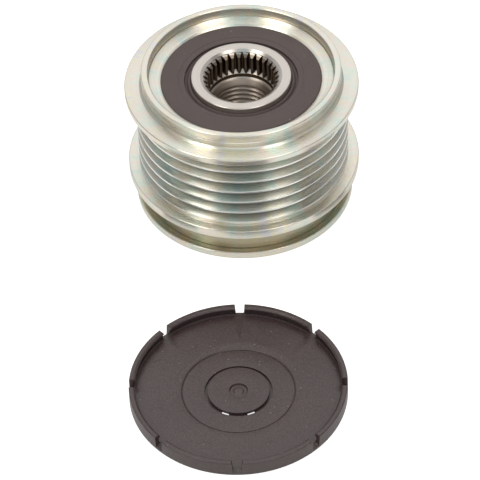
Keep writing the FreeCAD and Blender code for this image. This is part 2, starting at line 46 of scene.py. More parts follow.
def roundedOutline(corners, closed=True, arcStep=24):
    points = []
    last = len(corners) - 1
    for index, corner in enumerate(corners):
        here = Vector(corner[:2])
        rounding = corner[2] if len(corner) > 2 else 0
        if not rounding or (not closed and index in (0, last)):
            points.append(here)
            continue
        back = (Vector(corners[index - 1][:2]) - here).normalized()
        ahead = (Vector(corners[(index + 1) % len(corners)][:2]) - here).normalized()
        half = back.angle(ahead) / 2
        centre = here + (back + ahead).normalized() * rounding / math.sin(half)
        start = here + back * rounding / math.tan(half) - centre
        sweep = math.pi - 2 * half
        if start.cross(ahead) < 0:
            sweep = -sweep
        steps = max(2, round(math.degrees(abs(sweep)) / arcStep))
        for step in range(steps + 1):
            points.append(centre + Matrix.Rotation(sweep * step / steps, 2) @ start)
    if closed:
        points.append(points[0].copy())
    return points


def outlineObject(name, points):
    mesh = bpy.data.meshes.new(name)
    edges = [(index, index + 1) for index in range(len(points) - 1)]
    mesh.from_pydata([(x * mm, 0, z * mm) for x, z in points], edges, [])
    return bpy.data.objects.new(name, mesh)


# Geometry node helpers

def newTree(name, inputs, kind="GeometryNodeTree"):
    tree = bpy.data.node_groups.new(name, kind)
    for socketName, socketType in inputs:
        tree.interface.new_socket(socketName, in_out="INPUT", socket_type=socketType)
    return tree, tree.nodes.new("NodeGroupInput")


def setInputs(tree, node, inputs):
    for key, value in inputs.items():
        if isinstance(value, bpy.types.NodeSocket):
            tree.links.new(value, node.inputs[key])
        else:
            node.inputs[key].default_value = value


def addNode(tree, kind, inputs=None, **settings):
    node = tree.nodes.new(kind)
    for key, value in settings.items():
        setattr(node, key, value)
    setInputs(tree, node, inputs or {})
    return node


def calc(tree, operation, first, second=0.0, third=0.0):
    node = addNode(tree, "ShaderNodeMath", {0: first, 1: second, 2: third}, operation=operation)
    return node.outputs[0]


def product(tree, first, *others):
    for value in others:
        first = calc(tree, "MULTIPLY", first, value)
    return first


def total(tree, first, *others):
    for value in others:
        first = calc(tree, "ADD", first, value)
    return first


def wholeTimes(tree, value, size):
    # How many times a whole size fits in a whole number
    return calc(tree, "FLOOR", calc(tree, "DIVIDE", calc(tree, "ADD", value, 0.5), size))


def giveOut(tree, outputs):
    # A group's outputs: for each name, the socket's type and what it puts out
    for name, (kind, value) in outputs.items():
        tree.interface.new_socket(name, in_out="OUTPUT", socket_type=kind)
    addNode(tree, "NodeGroupOutput", {name: value for name, (kind, value) in outputs.items()})
    return tree


def endTree(tree, geometry, material):
    realized = addNode(tree, "GeometryNodeRealizeInstances", {"Geometry": geometry})
    painted = addNode(tree, "GeometryNodeSetMaterial", {
        "Geometry": realized.outputs[0], "Material": material})
    return giveOut(tree, {"Geometry": ("NodeSocketGeometry", painted.outputs[0])})


def welded(tree, geometry):
    merged = addNode(tree, "GeometryNodeMergeByDistance", {"Geometry": geometry, "Distance": weldDistance})
    return merged.outputs[0]


def makeSweep():
    # An outline swept about Z: a lathe, and with a lead a screw. Repeats stack the outline along Z, and
    # both ends of a screw sink outwards by Sink over Sink Turns.
    tree, given = newTree("sweepOutline", [
        ("Outline", "NodeSocketGeometry"), ("Segments", "NodeSocketInt"), ("Turns", "NodeSocketFloat"),
        ("Lead", "NodeSocketFloat"), ("Repeats", "NodeSocketInt"), ("Pitch", "NodeSocketFloat"),
        ("Sink", "NodeSocketFloat"), ("Sink Turns", "NodeSocketFloat")])
    outline, segments, turns, lead, repeats, pitch, sink, sinkTurns = given.outputs[:8]
    size = addNode(tree, "GeometryNodeAttributeDomainSize", {"Geometry": outline})
    count = size.outputs["Point Count"]
    rows = product(tree, count, repeats)
    columns = total(tree, segments, 1.0)
    grid = addNode(tree, "GeometryNodeMeshGrid", {"Vertices X": columns, "Vertices Y": rows})
    index = addNode(tree, "GeometryNodeInputIndex").outputs[0]
    column = wholeTimes(tree, index, rows)
    row = calc(tree, "SUBTRACT", index, product(tree, column, rows))
    repeat = wholeTimes(tree, row, count)
    local = calc(tree, "SUBTRACT", row, product(tree, repeat, count))
    position = addNode(tree, "GeometryNodeInputPosition").outputs[0]
    sample = addNode(tree, "GeometryNodeSampleIndex", {
        "Geometry": outline, "Value": position, "Index": local}, data_type="FLOAT_VECTOR", domain="POINT")
    point = addNode(tree, "ShaderNodeSeparateXYZ", {0: sample.outputs["Value"]})
    turned = product(tree, turns, calc(tree, "DIVIDE", column, segments))
    angle = product(tree, turned, 2 * math.pi)
    fromEnd = calc(tree, "MINIMUM", turned, calc(tree, "SUBTRACT", turns, turned))
    shown = calc(tree, "MINIMUM", 1.0, calc(tree, "DIVIDE", fromEnd, sinkTurns))
    sunk = product(tree, sink, calc(tree, "SUBTRACT", 1.0, shown))
    radius = total(tree, point.outputs["X"], sunk)
    rise = total(tree, product(tree, pitch, repeat), product(tree, lead, turned))
    height = total(tree, point.outputs["Z"], rise)
    place = addNode(tree, "ShaderNodeCombineXYZ", {
        "X": product(tree, radius, calc(tree, "COSINE", angle)),
        "Y": product(tree, radius, calc(tree, "SINE", angle)), "Z": height})
    moved = addNode(tree, "GeometryNodeSetPosition", {
        "Geometry": grid.outputs["Mesh"], "Position": place.outputs[0]})
    return giveOut(tree, {"Mesh": ("NodeSocketGeometry", welded(tree, moved.outputs[0]))})


sweepTree = makeSweep()


def swept(tree, outline, segments, turns=1.0, lead=0.0, repeats=1, pitch=0.0, sink=0.0, sinkTurns=1.0):
    source = addNode(tree, "GeometryNodeObjectInfo", {"Object": outline})
    group = addNode(tree, "GeometryNodeGroup", {
        "Outline": source.outputs["Geometry"], "Segments": segments, "Turns": turns, "Lead": lead,
        "Repeats": repeats, "Pitch": pitch, "Sink": sink, "Sink Turns": sinkTurns}, node_tree=sweepTree)
    return group.outputs["Mesh"]


def around(tree, piece, count, firstTurn=0.0, span=2 * math.pi):
    # Copies of a piece, modelled where it stands, turned about Z
    source = addNode(tree, "GeometryNodeObjectInfo", {"Object": piece})
    line = addNode(tree, "GeometryNodeMeshLine", {"Count": count, "Offset": (0, 0, 0)})
    index = addNode(tree, "GeometryNodeInputIndex").outputs[0]
    turn = total(tree, firstTurn, calc(tree, "DIVIDE", product(tree, index, span), count))
    rotation = addNode(tree, "ShaderNodeCombineXYZ", {"Z": turn})
    euler = addNode(tree, "FunctionNodeEulerToRotation", {0: rotation.outputs[0]})
    copies = addNode(tree, "GeometryNodeInstanceOnPoints", {
        "Points": line.outputs["Mesh"], "Instance": source.outputs["Geometry"], "Rotation": euler.outputs[0]})
    return addNode(tree, "GeometryNodeRealizeInstances", {"Geometry": copies.outputs[0]}).outputs[0]


def builtPiece(name, tree, values, body, replaced, place=None):
    piece = bpy.data.objects.new(name, bpy.data.meshes.new(name))
    bpy.context.scene.collection.objects.link(piece)
    modifier = piece.modifiers.new("shape", "NODES")
    modifier.node_group = tree
    for item in tree.interface.items_tree:
        if item.in_out == "INPUT" and item.name in values:
            modifier[item.identifier] = values[item.name]
    graph = bpy.context.evaluated_depsgraph_get()
    mesh = bpy.data.meshes.new_from_object(piece.evaluated_get(graph), depsgraph=graph)
    piece.modifiers.remove(modifier)
    if place is not None:
        mesh.transform(place)
    cleanMesh(mesh)
    mesh.name = name
    piece.data = mesh
    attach(piece, body)
    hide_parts(replaced)
    print(name, len(mesh.polygons), "faces")


def cleanMesh(mesh):
    work = bmesh.new()
    work.from_mesh(mesh)
    bmesh.ops.holes_fill(work, edges=[edge for edge in work.edges if edge.is_boundary], sides=8)
    bmesh.ops.recalc_face_normals(work, faces=work.faces)
    limit = math.radians(sharpAbove)
    for face in work.faces:
        face.smooth = True
    for edge in work.edges:
        edge.smooth = edge.calc_face_angle(0) < limit
    work.to_mesh(mesh)
    work.free()


# Camera, at the photograph's angle: lens and sensor in millimetres, distances in metres, turns in radians

camera = {
    "lens": 240, "sensor": 36, "nearest": 0.01, "away": 0.62295, "above": 0.58773,
    "pitch": 0.774, "yaw": -0.003, "roll": -0.037,
}


def placeCamera():
    pitch, yaw, roll = camera["pitch"], camera["yaw"], camera["roll"]
    ahead = Vector((math.sin(yaw) * math.cos(pitch), math.cos(yaw) * math.cos(pitch), -math.sin(pitch)))
    right = ahead.cross(Vector((0, 0, 1))).normalized()
    up = right.cross(ahead)
    across = right * math.cos(roll) + up * math.sin(roll)
    upward = up * math.cos(roll) - right * math.sin(roll)
    turn = Matrix((across, upward, -ahead)).transposed().to_4x4()
    lens = bpy.data.cameras.new("photoCamera")
    lens.lens = camera["lens"]
    lens.sensor_width = camera["sensor"]
    lens.clip_start = camera["nearest"]
    holder = bpy.data.objects.new("photoCamera", lens)
    holder.matrix_world = Matrix.Translation((0, -camera["away"], camera["above"])) @ turn
    bpy.context.scene.collection.objects.link(holder)
    bpy.context.scene.camera = holder


placeCamera()
bpy.context.scene.view_settings.view_transform = "Standard"
print("camera placed")


# Shader helpers and the effects that several materials share

def newMaterial(name):
    material = bpy.data.materials.new(name)
    material.use_nodes = True
    tree = material.node_tree
    shader = next(node for node in tree.nodes if node.type == "BSDF_PRINCIPLED")
    return material, tree, shader


def ramp(tree, value, stops):
    node = addNode(tree, "ShaderNodeValToRGB", {"Fac": value})
    elements = node.color_ramp.elements
    while len(elements) < len(stops):
        elements.new(0.5)
    for element, (position, color) in zip(elements, stops):
        element.position = position
        element.color = (*color, 1)
    return node.outputs["Color"]


def mixColor(tree, factor, first, second, blend="MIX"):
    first, second = (color if isinstance(color, bpy.types.NodeSocket) else (*color, 1)
                     for color in (first, second))
    node = addNode(tree, "ShaderNodeMix", {0: factor, 6: first, 7: second},
                   data_type="RGBA", blend_type=blend)
    return node.outputs[2]


def mapRange(tree, value, fromMin, fromMax, toMin=0.0, toMax=1.0):
    node = addNode(tree, "ShaderNodeMapRange", {
        "Value": value, "From Min": fromMin, "From Max": fromMax, "To Min": toMin, "To Max": toMax})
    return node.outputs[0]


def shadedPoint(tree):
    # The shaded point's coordinates and its distance from the Z axis
    where = addNode(tree, "ShaderNodeTexCoord").outputs["Object"]
    point = addNode(tree, "ShaderNodeSeparateXYZ", {0: where})
    x, y, z = point.outputs
    return x, y, z, calc(tree, "SQRT", total(tree, product(tree, x, x), product(tree, y, y)))


noiseSpan = (0.36, 0.64)   # most values of a noise texture lie between these


def makeTurnedGrain():
    # Fine rings and streaks left by a lathe about Z: radius and height drive the noise, the angle hardly
    tree, given = newTree("turnedGrain", [
        ("Rings", "NodeSocketFloat"), ("Wander", "NodeSocketFloat"), ("Depth", "NodeSocketFloat")],
        "ShaderNodeTree")
    rings, wander, depth = given.outputs[:3]
    x, y, z, radius = shadedPoint(tree)
    stretched = addNode(tree, "ShaderNodeCombineXYZ", {
        "X": product(tree, total(tree, radius, z), rings), "Y": product(tree, x, wander),
        "Z": product(tree, y, wander)}).outputs[0]
    fine = addNode(tree, "ShaderNodeTexNoise", {
        "Vector": stretched, "Scale": 1.0, "Detail": 3.0, "Roughness": 0.6}).outputs["Fac"]
    broad = addNode(tree, "ShaderNodeTexNoise", {
        "Vector": stretched, "Scale": 0.13, "Detail": 2.0}).outputs["Fac"]
    bump = addNode(tree, "ShaderNodeBump", {"Height": fine, "Strength": depth, "Distance": 0.02 * mm})
    return giveOut(tree, {
        "Fine": ("NodeSocketFloat", fine), "Broad": ("NodeSocketFloat", broad),
        "Normal": ("NodeSocketVector", bump.outputs[0])})


def makePlatingTint():
    # The plating's faint rainbow: tints change with the angle about Z and only slowly with height. It
    # also gives the radius and height of the shaded point.
    tree, given = newTree("platingTint", [("Strength", "NodeSocketFloat")], "ShaderNodeTree")
    x, y, z, radius = shadedPoint(tree)
    across = calc(tree, "DIVIDE", x, radius)
    along = calc(tree, "DIVIDE", y, radius)

    def ringNoise(turnScale, heightScale, seed):
        place = addNode(tree, "ShaderNodeCombineXYZ", {
            "X": calc(tree, "MULTIPLY_ADD", across, turnScale, seed), "Y": product(tree, along, turnScale),
            "Z": product(tree, total(tree, z, radius), heightScale)})
        return addNode(tree, "ShaderNodeTexNoise", {
            "Vector": place.outputs[0], "Scale": 1.0, "Detail": 2.0}).outputs[0]

    broad, fine = ringNoise(3.0, 70, 3.0), ringNoise(13.0, 160, 8.0)
    fineShare = 0.4
    hue = total(tree, product(tree, broad, 1 - fineShare), product(tree, fine, fineShare))
    tint = ramp(tree, mapRange(tree, hue, *noiseSpan), [
        (0.0, (0.78, 0.90, 0.92)), (0.25, (0.88, 0.95, 0.87)), (0.45, (0.96, 0.95, 0.88)),
        (0.62, (1.0, 0.90, 0.84)), (0.78, (1.0, 0.96, 0.78)), (1.0, (0.93, 0.88, 0.94))])
    mixed = mixColor(tree, given.outputs["Strength"], (0.95, 0.95, 0.92), tint)
    return giveOut(tree, {
        "Tint": ("NodeSocketColor", mixed), "Radius": ("NodeSocketFloat", radius),
        "Height": ("NodeSocketFloat", z)})


def makeMouldedGrain():
    # The dull sparkle of moulded plastic or rubber, with pale dust specks in a fifth of the cells
    tree, given = newTree("mouldedGrain", [
        ("Grain", "NodeSocketFloat"), ("Blotch", "NodeSocketFloat"), ("Specks", "NodeSocketFloat"),
        ("Depth", "NodeSocketFloat")], "ShaderNodeTree")
    cellShare, speckSize = 0.2, 0.2
    where = addNode(tree, "ShaderNodeTexCoord").outputs["Object"]
    grain, blotch = (addNode(tree, "ShaderNodeTexNoise", {
        "Vector": where, "Scale": given.outputs[name], "Detail": detail}).outputs["Fac"]
        for name, detail in (("Grain", 4.0), ("Blotch", 3.0)))
    dots = addNode(tree, "ShaderNodeTexVoronoi", {"Vector": where, "Scale": given.outputs["Specks"]})
    pick = addNode(tree, "ShaderNodeSeparateColor", {0: dots.outputs["Color"]})
    chosen = calc(tree, "GREATER_THAN", pick.outputs["Red"], 1 - cellShare)
    reach = product(tree, pick.outputs["Green"], speckSize)
    small = calc(tree, "LESS_THAN", dots.outputs["Distance"], reach)
    bump = addNode(tree, "ShaderNodeBump", {
        "Height": grain, "Strength": given.outputs["Depth"], "Distance": 0.04 * mm})
    return giveOut(tree, {
        "Grain": ("NodeSocketFloat", grain), "Blotch": ("NodeSocketFloat", blotch),
        "Specks": ("NodeSocketFloat", product(tree, chosen, small)),
        "Normal": ("NodeSocketVector", bump.outputs[0])})


turnedGrain = makeTurnedGrain()
platingTint = makePlatingTint()
mouldedGrain = makeMouldedGrain()


def turnedMetal(name, look):
    material, tree, shader = newMaterial(name)
    grain = addNode(tree, "ShaderNodeGroup", {
        "Rings": look["rings"], "Wander": look["wander"], "Depth": look["depth"]}, node_tree=turnedGrain)
    setInputs(tree, shader, {
        "Base Color": mixColor(tree, grain.outputs["Broad"], look["dark"], look["light"]),
        "Roughness": mapRange(tree, grain.outputs["Fine"], 0, 1, *look["roughness"]),
        "Normal": grain.outputs["Normal"], "Metallic": 1})
    if "anisotropic" in look:
        tangent = addNode(tree, "ShaderNodeTangent", direction_type="RADIAL", axis="Z")
        setInputs(tree, shader, {
            "Anisotropic": look["anisotropic"], "Anisotropic Rotation": 0.25, "Tangent": tangent.outputs[0]})
    return material


def mouldedMaterial(name, look):
    material, tree, shader = newMaterial(name)
    grain = addNode(tree, "ShaderNodeGroup", {
        "Grain": look["grain"], "Blotch": look["blotch"], "Specks": look["specks"], "Depth": look["depth"]},
        node_tree=mouldedGrain)
    flecks = product(tree, mapRange(tree, grain.outputs["Grain"], *noiseSpan), look["mottle"])
    blotches = product(tree, grain.outputs["Blotch"], 1 - look["mottle"])
    color = mixColor(tree, total(tree, flecks, blotches), look["dark"], look["light"])
    dust = product(tree, grain.outputs["Specks"], look["dust"])
    setInputs(tree, shader, {
        "Base Color": mixColor(tree, dust, color, look["dustColor"]),
        "Roughness": mapRange(tree, grain.outputs["Grain"], 0, 1, *look["roughness"]),
        "Normal": grain.outputs["Normal"], "Specular IOR Level": look["specular"]})
    return material


plated = turnedMetal("platedSteel", {
    "rings": 9000, "wander": 40, "depth": 0.25, "dark": (0.78, 0.78, 0.74), "light": (0.90, 0.90, 0.87),
    "roughness": (0.22, 0.34), "anisotropic": 0.85})
hubSteel = turnedMetal("hubSteel", {
    "rings": 12000, "wander": 60, "depth": 0.2, "dark": (0.60, 0.555, 0.51), "light": (0.74, 0.69, 0.64),
    "roughness": (0.24, 0.34), "anisotropic": 0.8})


# Zones about Z: low limit, high limit and soft edge of the radius and of the height, in millimetres

trackHeight = (11.8, 33.6, 0.1)
# Painted light in the plating: a bluer, darker belt track (partly tint, partly painted shade and reflection),
# painted shade at the roots of the grooves and in the rear neck, painted highlights on the rib tips
platingTintsAndShade = {
    "tint": 0.85, "track": {"radius": (20, 27.6, 0.04), "height": trackHeight},
    "trackTealAndShade": (0.90, 0.95, 0.97), "trackShare": 0.6,
    "grooveRadius": (24.9, 27.55), "grooveShadeLevel": (0.5, 0.95),
    "tips": {"radius": (27.62, 27.9, 0.04), "height": trackHeight}, "tipHighlightColor": (0.98, 0.98, 0.95),
    "neck": {"radius": (20, 28.4, 0.15), "height": (2.0, 8.7, 0.1)}, "neckShadeColor": (0.62, 0.59, 0.50),
}
# Painted shade in the hub's socket: dark upright walls, less dark crests and tops, and a darker bore
socketShade = {
    "upright": (0.15, 0.4),
    "socket": {"radius": (8.6, 10.2, 0.03), "height": (30.15, 38.1, 0.05)}, "wallShadeColor": (0.15, 0.105, 0.07),
    "crests": {"radius": (8.6, 8.93, 0.03), "height": (32.6, 38.1, 0.6)}, "crestShadeColor": (0.30, 0.245, 0.19),
    "tops": {"radius": (8.6, 9.6, 0.2), "height": (36.2, 38.1, 0.1)}, "topShadeColor": (0.25, 0.20, 0.16),
    "bore": {"radius": (5, 8.3, 0.1), "height": (8, 30.4, 0.4)}, "boreShadeColor": (0.70, 0.64, 0.60),
    "depths": {"radius": (5, 10, 0.1), "height": (8, 36, 1.5)}, "dullness": 0.12,
}


def inside(tree, value, low, high, edge):
    rising = mapRange(tree, value, (low - edge) * mm, (low + edge) * mm)
    falling = mapRange(tree, value, (high - edge) * mm, (high + edge) * mm, 1.0, 0.0)
    return product(tree, rising, falling)


def zone(tree, place, limits):
    # 1 inside the zone
    return product(tree, inside(tree, place.outputs["Radius"], *limits["radius"]),
                   inside(tree, place.outputs["Height"], *limits["height"]))


def comingIn(shader, name):
    return shader.inputs[name].links[0].from_socket


def dressing(material):
    tree = material.node_tree
    shader = next(node for node in tree.nodes if node.type == "BSDF_PRINCIPLED")
    return tree, shader, addNode(tree, "ShaderNodeGroup", node_tree=platingTint)


def paintPlatingTintsAndShade(material, look):
    # Rainbow tints over the turned steel with painted light: a bluer, darker belt track (plating tint plus
    # painted shade and reflection), painted shade at the roots of the grooves and in the browner rear neck,
    # painted highlights on the rib tips
    tree, shader, tint = dressing(material)
    tint.inputs["Strength"].default_value = look["tint"]
    color = mixColor(tree, 1.0, comingIn(shader, "Base Color"), tint.outputs["Tint"], "MULTIPLY")
    track = zone(tree, tint, look["track"])
    # The belt track's bluer, darker colour: partly the plating's tint, partly painted shade and reflection
    # from light bouncing between the ribs
    color = mixColor(tree, product(tree, track, look["trackShare"]), color, look["trackTealAndShade"], "MULTIPLY")
    # Painted shade: darker towards the roots of the grooves
    root, tip = look["grooveRadius"]
    level = mapRange(tree, tint.outputs["Radius"], root * mm, tip * mm, *look["grooveShadeLevel"])
    rootShade = addNode(tree, "ShaderNodeCombineColor", {0: level, 1: level, 2: level})
    color = mixColor(tree, track, color, rootShade.outputs[0], "MULTIPLY")
    # A painted highlight: near-white colour on the tips of the ribs
    color = mixColor(tree, zone(tree, tint, look["tips"]), color, look["tipHighlightColor"])
    # Painted shade: duller and browner in the rear neck under the flange
    color = mixColor(tree, zone(tree, tint, look["neck"]), color, look["neckShadeColor"], "MULTIPLY")
    tree.links.new(color, shader.inputs["Base Color"])


def shadeSocket(material, look):
    # Painted shade in the serrated socket: its upright walls painted dark, the teeth's crests and tops less
    # so, and its cones stay bright. The bore is painted darker as shade, and made duller.
    tree, shader, place = dressing(material)
    facing = addNode(tree, "ShaderNodeTexCoord").outputs["Normal"]
    tilt = addNode(tree, "ShaderNodeSeparateXYZ", {0: facing}).outputs["Z"]
    upright = mapRange(tree, calc(tree, "ABSOLUTE", tilt), *look["upright"], 1.0, 0.0)
    # Painted shade on the socket's upright walls, less dark on the crests
    wall = mixColor(tree, zone(tree, place, look["crests"]), look["wallShadeColor"], look["crestShadeColor"])
    walls = product(tree, zone(tree, place, look["socket"]), upright)
    color = mixColor(tree, walls, comingIn(shader, "Base Color"), wall)
    # Painted shade on the tops of the teeth inside the socket
    tops = product(tree, zone(tree, place, look["tops"]), calc(tree, "SUBTRACT", 1.0, upright))
    color = mixColor(tree, tops, color, look["topShadeColor"])
    # Painted shade: the bore darker
    color = mixColor(tree, zone(tree, place, look["bore"]), color, look["boreShadeColor"], "MULTIPLY")
    dull = product(tree, zone(tree, place, look["depths"]), look["dullness"])
    rough = total(tree, comingIn(shader, "Roughness"), dull)
    setInputs(tree, shader, {"Base Color": color, "Roughness": rough})


paintPlatingTintsAndShade(plated, platingTintsAndShade)
shadeSocket(hubSteel, socketShade)
hardSteel = turnedMetal("hardSteel", {
    "rings": 12000, "wander": 60, "depth": 0.15, "dark": (0.34, 0.33, 0.32), "light": (0.44, 0.43, 0.42),
    "roughness": (0.2, 0.3)})
rollerSteel = turnedMetal("rollerSteel", {
    "rings": 14000, "wander": 900, "depth": 0.05, "dark": (0.56, 0.56, 0.56), "light": (0.66, 0.66, 0.66),
    "roughness": (0.08, 0.16)})
springSteel = turnedMetal("springSteel", {
    "rings": 3000, "wander": 900, "depth": 0.1, "dark": (0.28, 0.27, 0.25), "light": (0.4, 0.38, 0.36),
    "roughness": (0.25, 0.4)})
sealRubber = mouldedMaterial("sealRubber", {
    "grain": 3200, "blotch": 160, "specks": 900, "depth": 0.3, "mottle": 0.5, "dark": (0.082, 0.060, 0.059),
    "light": (0.122, 0.094, 0.092), "dust": 0.5, "dustColor": (0.35, 0.33, 0.31),
    "roughness": (0.42, 0.6), "specular": 0.4})
capPlastic = mouldedMaterial("capPlastic", {
    "grain": 2600, "blotch": 90, "specks": 900, "depth": 0.5, "mottle": 0.7, "dark": (0.030, 0.016, 0.016),
    "light": (0.084, 0.053, 0.054), "dust": 0.45, "dustColor": (0.30, 0.28, 0.27),
    "roughness": (0.30, 0.44), "specular": 0.8})
cagePlastic = mouldedMaterial("cagePlastic", {
    "grain": 4000, "blotch": 200, "specks": 700, "depth": 0.2, "mottle": 0.3, "dark": (0.14, 0.10, 0.055),
    "light": (0.19, 0.145, 0.09), "dust": 0.1, "dustColor": (0.4, 0.36, 0.3),
    "roughness": (0.4, 0.6), "specular": 0.4})
washerPlastic = mouldedMaterial("washerPlastic", {
    "grain": 4000, "blotch": 150, "specks": 700, "depth": 0.15, "mottle": 0.3, "dark": (0.48, 0.43, 0.31),
    "light": (0.58, 0.53, 0.41), "dust": 0.1, "dustColor": (0.7, 0.66, 0.58),
    "roughness": (0.35, 0.5), "specular": 0.5})
print("materials made")


# Pulley ring

ring = {
    "segments": 288, "flange": 30.5, "edge": 0.3, "rearRim": 28.75, "neck": 26.3, "ribTip": 27.7,
    "tipWidth": 0.5, "pitch": 3.56, "grooves": 6, "grooveDepth": 3.1, "grooveAngle": 40, "tipRounding": 0.2,
    "rootRounding": 0.12, "relief": 0.4, "rearLand": 0.33, "frontLand": 1.02,
    "rimHeight": 2.05, "neckLength": 6.6, "rearFlange": 2.8, "frontFlange": 1.8, "seam": 0.01,
    "collarHeight": 4.24, "collar": 26.0, "collarFoot": 26.6, "collarInner": 24.2, "collarDepth": 3.2,
    "footRise": 0.45, "clipDepth": 0.2, "clipRise": 1.75, "clipWidth": 0.6,
    "sealSeat": 20.95, "sealDepth": 3.5, "rearRecess": 0.3, "mouthWidth": 0.7, "mouthDepth": 0.25,
    "sleeveSeat": 18.8,
}
ring["rearFlangeRear"] = ring["rimHeight"] + ring["neckLength"]
ring["rearFlangeFront"] = ring["rearFlangeRear"] + ring["rearFlange"]
ring["firstRib"] = ring["rearFlangeFront"] + ring["rearLand"]
ring["lastRib"] = ring["firstRib"] + ring["tipWidth"] + ring["pitch"] * ring["grooves"]
ring["frontFlangeRear"] = ring["lastRib"] + ring["frontLand"]
ring["frontFace"] = ring["frontFlangeRear"] + ring["frontFlange"]
ring["collarTop"] = ring["frontFace"] + ring["collarHeight"]
ring["floor"] = ring["collarTop"] - ring["collarDepth"]


def ringOutline(r):
    relief = r["ribTip"] - r["relief"]
    clipFloor = r["collar"] - r["clipDepth"]
    clipRear = r["frontFace"] + r["clipRise"]
    clipFront = clipRear + r["clipWidth"]
    return roundedOutline([
        (r["ribTip"], r["lastRib"] - r["tipWidth"] + r["seam"]),
        (r["ribTip"], r["lastRib"], r["tipRounding"]),
        (relief, r["lastRib"] + r["relief"], 0.2),
        (relief, r["frontFlangeRear"], 0.15),
        (r["flange"], r["frontFlangeRear"], r["edge"]),
        (r["flange"], r["frontFace"], r["edge"]),
        (r["collarFoot"], r["frontFace"], 0.12),
        (r["collar"], r["frontFace"] + r["footRise"], 0.12),
        (r["collar"], clipRear, 0.05),
        (clipFloor, clipRear + r["clipDepth"], 0.05),
        (clipFloor, clipFront - r["clipDepth"], 0.05),
        (r["collar"], clipFront, 0.05),
        (r["collar"], r["collarTop"], 0.3),
        (r["collarInner"], r["collarTop"], 0.35),
        (r["collarInner"], r["floor"], 0.4),
        (r["sealSeat"] + r["mouthWidth"], r["floor"], 0.15),
        (r["sealSeat"], r["floor"] - r["mouthDepth"], 0.08),
        (r["sealSeat"], r["floor"] - r["sealDepth"]),
        (r["sleeveSeat"], r["floor"] - r["sealDepth"]),
        (r["sleeveSeat"], r["sealDepth"] + r["rearRecess"]),
        (r["sealSeat"], r["sealDepth"] + r["rearRecess"]),
        (r["sealSeat"], r["mouthDepth"], 0.08),
        (r["sealSeat"] + r["mouthWidth"], 0, 0.15),
        (r["rearRim"], 0, r["edge"]),
        (r["rearRim"], r["rimHeight"], r["edge"]),
        (r["neck"], r["rimHeight"], 0.3),
        (r["neck"], r["rearFlangeRear"], 0.3),
        (r["flange"], r["rearFlangeRear"], 2 * r["edge"]),
        (r["flange"], r["rearFlangeFront"], r["edge"]),
        (r["ribTip"], r["rearFlangeFront"], 0.1),
        (relief, r["rearFlangeFront"] + r["rearLand"] / 2, 0.1),
        (r["ribTip"], r["firstRib"]),
    ], closed=False)


def grooveOutline(r):
    slope = math.tan(math.radians(r["grooveAngle"] / 2))
    root = r["ribTip"] - r["grooveDepth"]
    tipEnd = r["firstRib"] + r["tipWidth"]
    nextTip = r["firstRib"] + r["pitch"]
    rootStep = r["grooveDepth"] * slope
    return roundedOutline([
        (r["ribTip"], r["firstRib"]),
        (r["ribTip"], r["firstRib"] + r["seam"]),
        (r["ribTip"], tipEnd, r["tipRounding"]),
        (root, tipEnd + rootStep, r["rootRounding"]),
        (root, nextTip - rootStep, r["rootRounding"]),
        (r["ribTip"], nextTip, r["tipRounding"] / 2),
        (r["ribTip"], nextTip + r["seam"]),
    ], closed=False)


def makeRing():
    tree, given = newTree("ribbedRing", [
        ("Body", "NodeSocketObject"), ("Groove", "NodeSocketObject"), ("Grooves", "NodeSocketInt"),
        ("Pitch", "NodeSocketFloat"), ("Segments", "NodeSocketInt"), ("Finish", "NodeSocketMaterial")])
    segments = given.outputs["Segments"]
    blank = swept(tree, given.outputs["Body"], segments)
    track = swept(tree, given.outputs["Groove"], segments, repeats=given.outputs["Grooves"],
                  pitch=given.outputs["Pitch"])
    joined = addNode(tree, "GeometryNodeJoinGeometry")
    for mesh in (blank, track):
        tree.links.new(mesh, joined.inputs[0])
    endTree(tree, welded(tree, joined.outputs[0]), given.outputs["Finish"])
    builtPiece("beltRing", tree, {
        "Body": outlineObject("ringOutline", ringOutline(ring)),
        "Groove": outlineObject("grooveOutline", grooveOutline(ring)),
        "Grooves": ring["grooves"], "Pitch": ring["pitch"] * mm, "Segments": ring["segments"],
        "Finish": plated}, "pulley", "pulley_ring")


makeRing()


# Seals

seal = {
    "segments": 224, "seat": ring["sealSeat"], "faceEdge": 0.25, "step": 16.3, "stepDepth": 0.14,
    "bore": 14.8, "grooveDepth": 1.1, "dustLip": 13.85, "dustLipDrop": 0.5, "dustLipEdge": 0.24,
    "dustLipLand": 0.2, "lip": 13.11, "valley": 0.5, "lipStart": 1.8, "lipEnd": 2.05, "web": 16.0,
    "faceWidth": 0.9, "webBack": 1.9,
}


def makeLathe():
    tree, given = newTree("turnedPart", [
        ("Outline", "NodeSocketObject"), ("Segments", "NodeSocketInt"), ("Finish", "NodeSocketMaterial")])
    mesh = swept(tree, given.outputs["Outline"], given.outputs["Segments"])
    return endTree(tree, mesh, given.outputs["Finish"])


latheTree = makeLathe()


